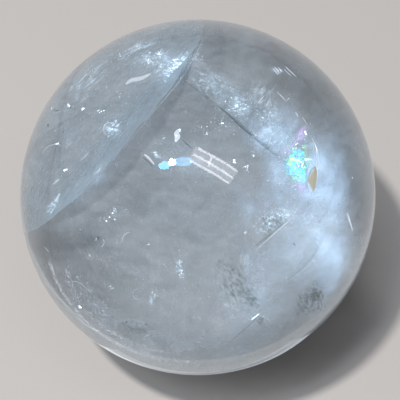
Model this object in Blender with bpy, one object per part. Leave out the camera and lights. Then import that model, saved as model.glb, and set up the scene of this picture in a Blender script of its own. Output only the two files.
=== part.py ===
"""Quartz sphere: one ball ground and polished from a single piece of rock crystal.

Units are metres and +Z is up. The origin is the middle of the small flat that the ball stands on.
"""

import math

import bmesh
import bpy

BALL_DIAMETER = 0.060  # a palm-sized ball
FLAT_DIAMETER = 0.008  # the spot polished flat underneath, which keeps the ball from rolling

SEGMENTS = 64  # facets round the ball
RINGS = 32  # facets from the top to the bottom
SHARP_EDGE = math.radians(7)  # only the flat's rim turns further than this from facet to facet

COLLECTION_NAME = "quartz sphere"
BALL_NAME = "quartz_ball"

# Milky rock crystal: nearly colourless, cloudy with healed cracks, with a wet-looking polish.
CRYSTAL_COLOUR = (0.55, 0.60, 0.64, 1.0)
CRYSTAL_ROUGHNESS = 0.04
CRYSTAL_METALLIC = 0.0
CRYSTAL_IOR = 1.544
CRYSTAL_TRANSMISSION = 0.8


def clear_scene():
    for old in list(bpy.data.objects):
        bpy.data.objects.remove(old, do_unlink=True)


def part_collection():
    collection = bpy.data.collections.new(COLLECTION_NAME)
    bpy.context.scene.collection.children.link(collection)
    return collection


def flat_depth():
    """How much of the ball's bottom the flat takes away."""
    ball_radius = BALL_DIAMETER / 2
    flat_radius = FLAT_DIAMETER / 2
    return ball_radius - math.sqrt(ball_radius**2 - flat_radius**2)


def rock_crystal():
    material = bpy.data.materials.new("polished rock crystal")
    material.use_nodes = True
    shader = material.node_tree.nodes["Principled BSDF"]
    shader.inputs["Base Color"].default_value = CRYSTAL_COLOUR
    shader.inputs["Roughness"].default_value = CRYSTAL_ROUGHNESS
    shader.inputs["Metallic"].default_value = CRYSTAL_METALLIC
    shader.inputs["IOR"].default_value = CRYSTAL_IOR
    shader.inputs["Transmission Weight"].default_value = CRYSTAL_TRANSMISSION
    return material


def quartz_ball(collection):
    """A sphere with its lowest cap cut off level, so that the cut face stands at z = 0."""
    ball_radius = BALL_DIAMETER / 2
    centre_height = ball_radius - flat_depth()

    shape = bmesh.new()
    bmesh.ops.create_uvsphere(shape, u_segments=SEGMENTS, v_segments=RINGS, radius=ball_radius)
    bmesh.ops.translate(shape, verts=shape.verts, vec=(0, 0, centre_height))

    whole = shape.verts[:] + shape.edges[:] + shape.faces[:]
    bmesh.ops.bisect_plane(
        shape, geom=whole, plane_co=(0, 0, 0), plane_no=(0, 0, -1), clear_outer=True
    )
    rim = [edge for edge in shape.edges if edge.is_boundary]
    bmesh.ops.edgeloop_fill(shape, edges=rim)
    bmesh.ops.recalc_face_normals(shape, faces=shape.faces)

    mesh = bpy.data.meshes.new(BALL_NAME)
    shape.to_mesh(mesh)
    shape.free()
    mesh.shade_smooth()
    mesh.set_sharp_from_angle(angle=SHARP_EDGE)
    mesh.materials.append(rock_crystal())

    ball = bpy.data.objects.new(BALL_NAME, mesh)
    collection.objects.link(ball)
    return ball


def main():
    clear_scene()
    quartz_ball(part_collection())


main()
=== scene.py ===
"""Quartz sphere: the looks of a ball ground and polished from one piece of milky rock crystal.

The ball is clear quartz. What clouds it lies inside: large cracks that healed into veils, faint
sheets of milk, frosty patches, a fresh crack that shows rainbow colours, bubbles and dark specks.

Lengths are metres unless a name ends in _mm or _MM. The stone has its own axes: across to the right,
up, and toward the one who looks. A spot is a place within the ball's round outline, (across, up) in
outline radii from its middle. With a depth in millimetres along the line of sight, which bends as it
enters the quartz, a spot names one point inside the stone.
"""

import math
import random
from collections import namedtuple

import bmesh
import bpy
import numpy as np
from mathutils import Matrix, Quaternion, Vector, geometry, noise


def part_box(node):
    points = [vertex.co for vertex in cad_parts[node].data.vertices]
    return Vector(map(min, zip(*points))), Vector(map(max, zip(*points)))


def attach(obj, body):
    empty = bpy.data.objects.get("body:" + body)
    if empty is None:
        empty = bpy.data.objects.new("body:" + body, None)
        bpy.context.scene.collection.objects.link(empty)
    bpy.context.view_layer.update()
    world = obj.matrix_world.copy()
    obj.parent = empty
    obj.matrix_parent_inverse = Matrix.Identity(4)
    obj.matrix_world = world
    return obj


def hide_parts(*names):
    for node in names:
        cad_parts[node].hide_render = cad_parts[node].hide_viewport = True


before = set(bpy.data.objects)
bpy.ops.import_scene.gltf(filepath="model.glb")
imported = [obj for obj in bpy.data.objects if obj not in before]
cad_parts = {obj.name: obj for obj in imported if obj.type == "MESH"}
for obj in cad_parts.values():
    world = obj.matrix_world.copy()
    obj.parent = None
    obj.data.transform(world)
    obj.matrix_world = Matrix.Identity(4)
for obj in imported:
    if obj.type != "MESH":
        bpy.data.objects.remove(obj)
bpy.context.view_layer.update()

bl_info = {
    "name": "Quartz Sphere",
    "version": (1, 0, 0),
    "blender": (4, 5, 0),
    "location": "View3D > Sidebar > Quartz",
    "description": "A polished ball of milky rock crystal with its cracks, veils, bubbles and specks",
    "category": "Add Mesh",
}

BALL_NODE = "quartz_ball"
BODY = "root"

BALL_LOW, BALL_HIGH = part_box(BALL_NODE)
BALL_RADIUS = (BALL_HIGH.x - BALL_LOW.x) / 2
BALL_CENTRE = Vector((0.0, 0.0, BALL_HIGH.z - BALL_RADIUS))
MM = 0.001
QUARTZ_IOR = 1.544

# How far below the skin the large sheets end, and the small patches.
SHEET_GAP = 0.12 * MM
PATCH_GAP = 0.15 * MM
# Fractal noise: how fast its layers fade, how much finer each one is, and how many there are.
RIPPLE_NOISE = (0.9, 2.1, 3)
PATCHY_NOISE = (0.8, 2.1, 4)

# The view: the camera looks down on the ball from nine ball radii away, and the ball's outline is a
# circle in its square picture.
VIEW_ELEVATION = math.radians(58)
VIEW_DISTANCE = 9 * BALL_RADIUS
FRAME_PIXELS = 400
OUTLINE_CENTRE_PX = (197.9, 197.2)
OUTLINE_RADIUS_PX = 177.8
SENSOR_MM = 36
OUTLINE_SPREAD = math.tan(math.asin(BALL_RADIUS / VIEW_DISTANCE))
# How far away the lamps stand that mirror in the polish.
MIRRORED_DISTANCE = 1.0

STONE_ACROSS = Vector((1, 0, 0))
STONE_UP = Vector((0, math.sin(VIEW_ELEVATION), math.cos(VIEW_ELEVATION)))
STONE_TOWARD = Vector((0, -math.cos(VIEW_ELEVATION), math.sin(VIEW_ELEVATION)))
EYE = BALL_CENTRE + STONE_TOWARD * VIEW_DISTANCE


# ---------------------------------------------------------------- places


def stone_direction(across, up, toward):
    """The unit vector for a direction in the stone's own axes."""
    return (STONE_ACROSS * across + STONE_UP * up + STONE_TOWARD * toward).normalized()


TOWARD_KEY = stone_direction(-0.264, 0.361, 0.894)


def sight_line(across, up):
    """Where the line of sight to this spot meets the ball, the line's direction and the surface normal."""
    ray = stone_direction(across * OUTLINE_SPREAD, up * OUTLINE_SPREAD, -1)
    to_middle = (BALL_CENTRE - EYE).dot(ray)
    miss = (BALL_CENTRE - EYE).length_squared - to_middle**2
    entry = EYE + ray * (to_middle - math.sqrt(max(BALL_RADIUS**2 - miss, 0)))
    return entry, ray, (entry - BALL_CENTRE).normalized()


def bent_line(across, up):
    """The line of sight once it has entered the quartz: its start and direction."""
    entry, ray, normal = sight_line(across, up)
    ratio = 1 / QUARTZ_IOR
    cos_in = -ray.dot(normal)
    cos_out = math.sqrt(1 - ratio**2 * (1 - cos_in**2))
    return entry, (ray * ratio + normal * (ratio * cos_in - cos_out)).normalized()


def seen(across, up, depth_mm):
    """The point inside the stone that shows at this spot."""
    entry, bent = bent_line(across, up)
    return entry + bent * depth_mm * MM


def mirrored(across, up):
    """The place in the room whose reflection shows at this spot."""
    entry, ray, normal = sight_line(across, up)
    return entry + (ray - normal * 2 * ray.dot(normal)) * MIRRORED_DISTANCE


def glint_normal(across, up):
    """How a small face inside the stone lies when it flashes the key light at the one who looks."""
    return (TOWARD_KEY - bent_line(across, up)[1]).normalized()


def sight_table(steps=240):
    """Lines of sight from the middle of the outline to its rim: spot, entry and how fast each closes in."""
    rows = []
    for step in range(steps):
        spot = step / (steps - 1)
        entry, bent = bent_line(spot, 0.0)
        offset = entry - BALL_CENTRE
        slope = bent.dot(STONE_ACROSS) / bent.dot(STONE_TOWARD)
        rows.append((spot, offset.dot(STONE_ACROSS), offset.dot(STONE_TOWARD), slope))
    return np.array(rows).T


SIGHT_TABLE = sight_table()


def shown_spots(points):
    """The spots, as across and up columns, at which points inside the stone show."""
    offsets = np.array(points) - np.array(BALL_CENTRE)
    across, up, toward = (offsets @ np.array(axis) for axis in (STONE_ACROSS, STONE_UP, STONE_TOWARD))
    away = np.hypot(across, up)
    spots, entry_away, entry_toward, slope = SIGHT_TABLE
    passes = entry_away + slope * (toward[:, None] - entry_toward)
    passes[:, -1] = np.inf
    spot = spots[np.argmax(passes >= away[:, None], axis=1)]
    scale = spot / np.maximum(away, 1e-6)
    return across * scale, up * scale


def painted(points, blots, base=0.0, most=1.0):
    """How dense a veil is at each point: base, and soft ovals that add to it or thin it."""
    across, up = shown_spots(points)
    total = np.full(len(points), base)
    for blot_across, blot_up, length, width, turn_deg, strength in blots:
        turn = math.radians(turn_deg)
        x, y = across - blot_across, up - blot_up
        along = (x * math.cos(turn) + y * math.sin(turn)) / length
        beside = (y * math.cos(turn) - x * math.sin(turn)) / width
        total += strength * np.exp(-(along**2) - beside**2)
    return np.clip(total, 0.0, most)


# ---------------------------------------------------------------- nodes and meshes


def srgb(hex_colour):
    """A linear RGBA colour from sRGB hex such as "c8d4e0"."""
    channels = [int(hex_colour[i : i + 2], 16) / 255 for i in (0, 2, 4)]
    linear = [c / 12.92 if c <= 0.04045 else ((c + 0.055) / 1.055) ** 2.4 for c in channels]
    return (*linear, 1.0)


def add_node(tree, kind, settings=None, values=None, links=None):
    """Adds a node. values sets its inputs, and links feeds them from other nodes' outputs."""
    node = tree.nodes.new(kind)
    for key, value in (settings or {}).items():
        setattr(node, key, value)
    for key, value in (values or {}).items():
        node.inputs[key].default_value = value
    for key, source in (links or {}).items():
        tree.links.new(source, node.inputs[key])
    return node


def new_material(name):
    """An empty material and its node tree."""
    material = bpy.data.materials.new(name)
    material.use_nodes = True
    material.node_tree.nodes.clear()
    return material, material.node_tree


def link_object(name, mesh):
    """An object of this mesh, in the scene."""
    piece = bpy.data.objects.new(name, mesh)
    bpy.context.scene.collection.objects.link(piece)
    return piece


def mesh_object(name, points, faces, material):
    """A smooth object of one material from its points and faces."""
    mesh = bpy.data.meshes.new(name)
    mesh.from_pydata(points, [], faces)
    mesh.shade_smooth()
    mesh.materials.append(material)
    return link_object(name, mesh)


def joined(pieces):
    """Points and faces of several small pieces as one mesh."""
    points, faces = [], []
    for piece_points, piece_faces in pieces:
        start = len(points)
        points += piece_points
        faces += [tuple(start + corner for corner in face) for face in piece_faces]
    return points, faces


def in_stone(piece, casts_shadow=True):
    """Makes the piece part of the stone: it rides on its body."""
    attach(piece, BODY)
    piece.visible_shadow = casts_shadow
    return piece


# ---------------------------------------------------------------- materials


def polished_quartz(settings):
    """Rock crystal, ground and polished: a glassy skin over a clear body that darkens a little."""
    material, tree = new_material("polished rock crystal")
    shader = add_node(tree, "ShaderNodeBsdfPrincipled", None, {
        "Base Color": settings.crystal_colour,
        "Roughness": 0.015,
        "IOR": QUARTZ_IOR,
        "Transmission Weight": 1.0,
    })
    # The lamps light what lies inside as if the skin didn't bend their light. To follow the bent light
    # would take caustics.
    passed = add_node(tree, "ShaderNodeBsdfTransparent", None, {"Color": settings.let_in_colour})
    rays = add_node(tree, "ShaderNodeLightPath")
    surface = add_node(tree, "ShaderNodeMixShader", None, None, {
        0: rays.outputs["Is Shadow Ray"], 1: shader.outputs[0], 2: passed.outputs[0],
    })
    body = add_node(tree, "ShaderNodeVolumeAbsorption", None, {
        "Color": settings.crystal_colour, "Density": settings.body_absorption,
    })
    add_node(tree, "ShaderNodeOutputMaterial", None, None, {
        "Surface": surface.outputs[0], "Volume": body.outputs[0],
    })
    return material


def end_as_sheet(tree, amount, shader):
    """Ends a sheet's material: as much of the shader as amount says, and clear for the rest."""
    clear = add_node(tree, "ShaderNodeBsdfTransparent")
    surface = add_node(tree, "ShaderNodeMixShader", None, None, {
        0: amount.outputs[0], 1: clear.outputs[0], 2: shader.outputs[0],
    })
    add_node(tree, "ShaderNodeOutputMaterial", None, None, {"Surface": surface.outputs[0]})


def veil_material(name, colour, size_mm, stretch, detail, contrast, silk=0.0, through=0.45, roughness=0.52):
    """Countless tiny bubbles in a sheet, which glow with light from either side.

    The sheet's cover says how dense they are. Noise, drawn out along the sheet's flow, breaks them up:
    contrast 0 gives even milk, 3 gives crisp frost. silk is the share that lies flat in the sheet and
    so shines like satin where the sheet turns to the light.
    """
    material, tree = new_material(name)
    place = add_node(tree, "ShaderNodeUVMap")
    flow = add_node(tree, "ShaderNodeMapping", None, {
        "Scale": (1 / (size_mm * stretch), 1 / size_mm, 1),
    }, {"Vector": place.outputs[0]})
    lumps = add_node(tree, "ShaderNodeTexNoise", {"noise_dimensions": "2D"}, {
        "Scale": 1.0, "Detail": detail, "Roughness": 0.62, "Distortion": 0.4,
    }, {"Vector": flow.outputs[0]})
    cover = add_node(tree, "ShaderNodeAttribute", {"attribute_name": "cover"})
    uneven = add_node(tree, "ShaderNodeMath", {"operation": "MULTIPLY_ADD"}, {
        1: contrast, 2: -0.5 * contrast,
    }, {0: lumps.outputs["Fac"]})
    dense = add_node(tree, "ShaderNodeMath", {"operation": "ADD", "use_clamp": True}, None, {
        0: uneven.outputs[0], 1: cover.outputs["Fac"],
    })
    # Where the cover falls to nothing the veil does too, however dense its lumps.
    present = add_node(tree, "ShaderNodeMath", {"operation": "MULTIPLY", "use_clamp": True}, {1: 5.0}, {
        0: cover.outputs["Fac"],
    })
    alpha = add_node(tree, "ShaderNodeMath", {"operation": "MULTIPLY"}, None, {
        0: dense.outputs[0], 1: present.outputs[0],
    })
    front = add_node(tree, "ShaderNodeBsdfPrincipled", None, {
        "Base Color": colour, "Roughness": roughness, "Specular IOR Level": 0.0, "Metallic": silk,
    })
    back = add_node(tree, "ShaderNodeBsdfTranslucent", None, {"Color": colour})
    both = add_node(tree, "ShaderNodeMixShader", None, {0: through}, {
        1: front.outputs[0], 2: back.outputs[0],
    })
    end_as_sheet(tree, alpha, both)
    return material


def plain_material(name, colour, roughness, metallic=0.0):
    """One even finish, for things too small to show a pattern."""
    material, tree = new_material(name)
    shader = add_node(tree, "ShaderNodeBsdfPrincipled", None, {
        "Base Color": colour, "Roughness": roughness, "Metallic": metallic,
    })
    add_node(tree, "ShaderNodeOutputMaterial", None, None, {"Surface": shader.outputs[0]})
    return material


def rainbow_film(name, thinnest_nm, thickest_nm, vivid, most):
    """A fresh crack with a film of air in it, thin as a soap bubble's wall, which shows the same colours."""
    swirl_size, crumb_size = 1.3 * MM, 0.7 * MM
    middling = 0.23
    material, tree = new_material(name)
    place = add_node(tree, "ShaderNodeTexCoord")
    lumps = add_node(tree, "ShaderNodeTexNoise", None, {
        "Scale": 1 / swirl_size, "Detail": 5.0, "Roughness": 0.8, "Distortion": 1.0,
    }, {"Vector": place.outputs["Object"]})
    thickness = add_node(tree, "ShaderNodeMapRange", None, {
        "From Min": 0.38, "From Max": 0.62, "To Min": thinnest_nm, "To Max": thickest_nm,
    }, {"Value": lumps.outputs["Fac"]})
    bands = []
    # The red, green and blue light that the eye sorts.
    for wavelength_nm in (640, 535, 460):
        phase = add_node(tree, "ShaderNodeMath", {"operation": "MULTIPLY"}, {1: math.tau / wavelength_nm}, {
            0: thickness.outputs[0],
        })
        wave = add_node(tree, "ShaderNodeMath", {"operation": "COSINE"}, None, {0: phase.outputs[0]})
        band = add_node(tree, "ShaderNodeMath", {"operation": "MULTIPLY_ADD"}, {1: vivid, 2: middling}, {
            0: wave.outputs[0],
        })
        bands.append(band.outputs[0])
    colour = add_node(tree, "ShaderNodeCombineColor", None, None, dict(enumerate(bands)))
    shader = add_node(tree, "ShaderNodeBsdfPrincipled", None, {"Roughness": 0.48, "Metallic": 1.0}, {
        "Base Color": colour.outputs[0],
    })
    grain = add_node(tree, "ShaderNodeTexNoise", None, {
        "Scale": 1 / crumb_size, "Detail": 4.0, "Roughness": 0.75,
    }, {"Vector": place.outputs["Object"]})
    cover = add_node(tree, "ShaderNodeAttribute", {"attribute_name": "cover"})
    ragged = add_node(tree, "ShaderNodeMath", {"operation": "ADD"}, None, {
        0: grain.outputs["Fac"], 1: cover.outputs["Fac"],
    })
    density = add_node(tree, "ShaderNodeMapRange", None, {
        "From Min": 0.8, "From Max": 1.1, "To Min": 0.0, "To Max": most,
    }, {"Value": ragged.outputs[0]})
    end_as_sheet(tree, density, shader)
    return material


# ---------------------------------------------------------------- sheets


def fan_faces(spokes, rings):
    """Faces of a disc of points: the middle first, then each spoke from the middle out."""
    faces = []
    for spoke in range(spokes):
        here = 1 + spoke * rings
        there = 1 + (spoke + 1) % spokes * rings
        faces.append((0, here, there))
        for ring in range(rings - 1):
            faces.append((here + ring, here + ring + 1, there + ring + 1, there + ring))
    return faces


def veil_object(name, points, faces, material, cover, middle, normal, flow, seed):
    """A sheet with its cover, and a flat map in millimetres whose first axis runs along flow."""
    sheet = mesh_object(name, points, faces, material)
    layer = sheet.data.attributes.new("cover", "FLOAT", "POINT")
    layer.data.foreach_set("value", cover)
    along = (flow - normal * flow.dot(normal)).normalized()
    beside = normal.cross(along)
    # Each seed starts in its own part of the pattern, so that no two sheets show the same lumps.
    start_mm = (seed * 37.0, seed * 23.0)
    offsets = (np.array(points) - np.array(middle)) / MM
    flat = np.stack([offsets @ np.array(axis) + start for axis, start in zip((along, beside), start_mm)], 1)
    corners = np.empty(len(sheet.data.loops), dtype=np.int32)
    sheet.data.loops.foreach_get("vertex_index", corners)
    sheet.data.uv_layers.new(name="flow_mm").data.foreach_set("uv", flat[corners].ravel())
    return in_stone(sheet)


# Which way a plane faces, in the stone's own axes, and how far out it lies, in ball radii.
Plane = namedtuple("Plane", "lean offset")
# A sheet: its plane, the way its pattern runs, how dense it is everywhere, the blots that add to that,
# the planes that cut it off, and how far it domes and ripples.
Sheet = namedtuple("Sheet", "plane flow base blots cuts dome_mm ripple_mm")


def thinned_far(points, offsets, depths, fade_mm):
    """What is left of a crack's cover where it runs out in the far half of the stone: bare in places."""
    patch_size = 8 * MM
    start, change_over = 0.15, 0.45 * BALL_RADIUS
    mean, contrast = 0.75, 1.6
    far = np.clip(start - offsets @ np.array(STONE_TOWARD) / change_over, 0.0, 1.0)
    lumps = np.array([noise.fractal(point / patch_size, *PATCHY_NOISE) for point in points])
    left = np.clip(depths / (fade_mm * MM), 0, 1) * np.clip(mean + contrast * lumps, 0.0, 2.0)
    return 1 + far * (left - 1)


def crack_sheet(name, sheet, material, seed, fade_mm=0.0, ripple_size_mm=9.0, spokes=144, rings=44,
                far_fade_mm=0.0):
    """A rippled sheet right through the stone, cut off just under the skin and at its cuts.

    fade_mm is how far below the skin it begins to thin out. far_fade_mm is the same for its far half
    alone, which is then patchy too, as where a crack ran out in the stone.
    """
    normal = stone_direction(*sheet.plane.lean)
    middle = BALL_CENTRE + normal * sheet.plane.offset * BALL_RADIUS
    along = normal.orthogonal().normalized()
    beside = normal.cross(along)
    cuts = [(stone_direction(*cut.lean), cut.offset * BALL_RADIUS) for cut in sheet.cuts]
    # The fan of points spreads from a place in the plane that the cuts leave in.
    inset, shift = 0.1 * BALL_RADIUS, Vector()
    for lean, far in cuts:
        reach = (middle - BALL_CENTRE).dot(lean)
        if reach > far:
            shift += lean * (far - reach - inset)
    middle += shift
    middle -= normal * ((middle - BALL_CENTRE).dot(normal) - sheet.plane.offset * BALL_RADIUS)

    def place(direction, distance):
        flat = middle + direction * distance
        where = flat / (ripple_size_mm * MM) + Vector((seed * 3.1, seed * 1.7, seed * 2.3))
        lift = sheet.ripple_mm * noise.fractal(where, *RIPPLE_NOISE)
        return flat + normal * (lift - sheet.dome_mm * (distance / BALL_RADIUS) ** 2) * MM

    def kept(point):
        offset = point - BALL_CENTRE
        inside = offset.length < BALL_RADIUS - SHEET_GAP and point.z > SHEET_GAP
        return inside and all(offset.dot(lean) < far for lean, far in cuts)

    halvings, fade_power = 24, 0.8
    points = [place(along, 0.0)]
    for spoke in range(spokes):
        angle = math.tau * spoke / spokes
        direction = along * math.cos(angle) + beside * math.sin(angle)
        # Halving finds how far the sheet reaches on this spoke. The far end starts outside the ball.
        low, high = 0.0, 2.2 * BALL_RADIUS
        for _ in range(halvings):
            half = (low + high) / 2
            low, high = (half, high) if kept(place(direction, half)) else (low, half)
        points += [place(direction, low * ring / rings) for ring in range(1, rings + 1)]
    cover = painted(points, sheet.blots, sheet.base)
    offsets = np.array(points) - np.array(BALL_CENTRE)
    depths = BALL_RADIUS - np.linalg.norm(offsets, axis=1)
    if fade_mm:
        cover *= np.clip(depths / (fade_mm * MM), 0, 1) ** fade_power
    if far_fade_mm:
        cover *= thinned_far(points, offsets, depths, far_fade_mm)
    flow = stone_direction(*sheet.flow)
    return veil_object(name, points, fan_faces(spokes, rings), material, cover, middle, normal, flow, seed)


def facing_plane(across, up, depth_mm):
    """The plane through the point that shows at this spot, turned so that it flashes the key light."""
    normal = glint_normal(across, up)
    lean = tuple(normal.dot(axis) for axis in (STONE_ACROSS, STONE_UP, STONE_TOWARD))
    return Plane(lean, (seen(across, up, depth_mm) - BALL_CENTRE).dot(normal) / BALL_RADIUS)


CURVE_STEPS = 8


def curve_piece(before, start, end, after):
    """Points on a smooth curve from start almost to end, which its neighbours before and after steer."""
    lead, trail = (end - before) / 6, (after - start) / 6
    return geometry.interpolate_bezier(start, start + lead, end - trail, end, CURVE_STEPS + 1)[:-1]


def smooth_loop(corners):
    """A closed smooth curve through the corners."""
    loop = []
    for index in range(len(corners)):
        loop += curve_piece(*(corners[(index + shift) % len(corners)] for shift in (-1, 0, 1, 2)))
    return loop


def under_skin(point):
    """The point itself, or if it lies outside the ball the nearest one just under the skin."""
    offset = point - BALL_CENTRE
    return BALL_CENTRE + offset * min(1.0, (BALL_RADIUS - PATCH_GAP) / offset.length)


def patch_sheet(name, spots, depth_mm, material, most, fade, tilt=(0, 0), dome_mm=0.3, flow=(1, 0, 0),
                seed=1):
    """A small flat crack inside an outline of spots, turned so that it nearly catches the key light.

    tilt turns it off that, in degrees about the across and up axes. Its cover is most, and falls off to
    nothing at the edge.
    """
    rings = 16
    ripple_mm, ripple_size = 0.12, 2.5 * MM
    centre = (sum(spot[0] for spot in spots) / len(spots), sum(spot[1] for spot in spots) / len(spots))
    middle = seen(*centre, depth_mm)
    about_across = Quaternion(STONE_ACROSS, math.radians(tilt[0]))
    about_up = Quaternion(STONE_UP, math.radians(tilt[1]))
    normal = about_across @ about_up @ glint_normal(*centre)
    corners = []
    for spot in spots:
        entry, bent = bent_line(*spot)
        corners.append(entry + bent * max((middle - entry).dot(normal) / bent.dot(normal), PATCH_GAP))
    rim = smooth_loop(corners)
    middle = sum(rim, Vector()) / len(rim)
    points, cover = [middle], [most]
    for corner in rim:
        for ring in range(1, rings + 1):
            part = ring / rings
            flat = middle.lerp(corner, part)
            ripple = ripple_mm * noise.fractal(flat / ripple_size + Vector((seed, 0, 0)), *RIPPLE_NOISE)
            points.append(under_skin(flat + normal * (ripple * (1 - part) - dome_mm * part**2) * MM))
            cover.append(most * (1 - part**2) ** fade)
    faces = fan_faces(len(rim), rings)
    patch = veil_object(name, points, faces, material, cover, middle, normal, stone_direction(*flow), seed)
    patch.visible_shadow = False
    return patch


def oval(across, up, length, width, turn_deg, seed):
    """Outline of a ragged oval, longest along turn_deg from the horizontal."""
    corners, least, most = 10, 0.75, 1.15
    chance = random.Random(seed)
    turn = math.radians(turn_deg)
    spots = []
    for corner in range(corners):
        angle = math.tau * corner / corners
        ragged = chance.uniform(least, most)
        along = length / 2 * math.cos(angle) * ragged
        beside = width / 2 * math.sin(angle) * ragged
        spots.append((across + along * math.cos(turn) - beside * math.sin(turn),
                      up + along * math.sin(turn) + beside * math.cos(turn)))
    return spots


# A patch: its oval outline, its depth, how dense it is and how far it is tipped out of the key light.
Patch = namedtuple("Patch", "across up length width turn_deg depth_mm most tilt")


def ragged_patch(name, patch, material, fade, flow, seed):
    """A small flat crack in a ragged oval."""
    spots = oval(patch.across, patch.up, patch.length, patch.width, patch.turn_deg, seed)
    return patch_sheet(name, spots, patch.depth_mm, material, patch.most, fade, patch.tilt, flow=flow,
                       seed=seed)


# ---------------------------------------------------------------- small bright and dark things


def ribbon(path, width_mm):
    """A thin bright or dark edge of a crack along spots with depths, narrower at its ends."""
    ends, taper = 0.2, 0.7
    knots = [seen(*place) for place in path]
    last = len(knots) - 1
    line, normals = [], []
    for index in range(last):
        before, after = knots[max(index - 1, 0)], knots[min(index + 2, last)]
        line += curve_piece(before, knots[index], knots[index + 1], after)
        normals += [glint_normal(*path[index][:2])] * CURVE_STEPS
    line.append(knots[-1])
    normals.append(normals[-1])
    points = []
    for index, (point, normal) in enumerate(zip(line, normals)):
        ahead = line[min(index + 1, len(line) - 1)] - line[max(index - 1, 0)]
        part = index / (len(line) - 1)
        width = width_mm * (ends + (1 - ends) * math.sin(math.pi * part) ** taper)
        side = ahead.cross(normal).normalized() * width / 2 * MM
        points += [point - side, point + side]
    faces = [(2 * i, 2 * i + 1, 2 * i + 3, 2 * i + 2) for i in range(len(line) - 1)]
    return points, faces


def ring_path(across, up, depth_mm, radius, first_deg, last_deg):
    """Spots with depths along a bit of a ring."""
    steps = 9
    angles = [math.radians(first_deg + (last_deg - first_deg) * step / steps) for step in range(steps + 1)]
    return [(across + radius * math.cos(angle), up + radius * math.sin(angle), depth_mm) for angle in angles]


def plate(across, up, depth_mm, size_mm, tilt_deg, chance, stretch):
    """A flat chip of broken crystal that nearly catches the key light."""
    corners, least, most = 6, 0.65, 1.2
    middle = seen(across, up, depth_mm)
    normal = glint_normal(across, up)
    tipped = Quaternion(normal.orthogonal(), math.radians(chance.gauss(0, tilt_deg)))
    normal = Quaternion(normal, chance.uniform(0, math.tau)) @ (tipped @ normal)
    along = normal.orthogonal().normalized()
    along = Quaternion(normal, chance.uniform(0, math.tau)) @ along
    beside = normal.cross(along)
    points = []
    for corner in range(corners):
        angle = math.tau * corner / corners
        reach = size_mm / 2 * chance.uniform(least, most) * MM
        points.append(middle + along * math.cos(angle) * reach * stretch + beside * math.sin(angle) * reach)
    return points, [tuple(range(corners))]


# Chips round a spot: their depth, how far they spread, how many and how large, and how they are tipped.
Cluster = namedtuple(
    "Cluster", "across up depth_mm length width turn_deg count smallest_mm largest_mm tilt_deg")


def cluster_plates(cluster, chance):
    """The chips of one cluster, most of them small. None lies where the outline's rim would bend it."""
    rim = 0.97
    spread_mm, least_depth_mm = 0.8, 0.4
    turn = math.radians(cluster.turn_deg)
    plates = []
    for _ in range(cluster.count):
        along, beside = chance.gauss(0, cluster.length / 2), chance.gauss(0, cluster.width / 2)
        across = cluster.across + along * math.cos(turn) - beside * math.sin(turn)
        up = cluster.up + along * math.sin(turn) + beside * math.cos(turn)
        if math.hypot(across, up) < rim:
            depth_mm = max(cluster.depth_mm + chance.uniform(-spread_mm, spread_mm), least_depth_mm)
            size_mm = cluster.smallest_mm + (cluster.largest_mm - cluster.smallest_mm) * chance.random() ** 2
            stretch = chance.uniform(1, 1.8)
            plates.append(plate(across, up, depth_mm, size_mm, cluster.tilt_deg, chance, stretch))
    return plates


def chips(clusters, seed):
    """The chips of all the clusters, each cluster with its own random draw."""
    pieces = []
    for number, cluster in enumerate(clusters):
        pieces += cluster_plates(cluster, random.Random(seed + number))
    return pieces


# ---------------------------------------------------------------- scattered grains


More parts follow.
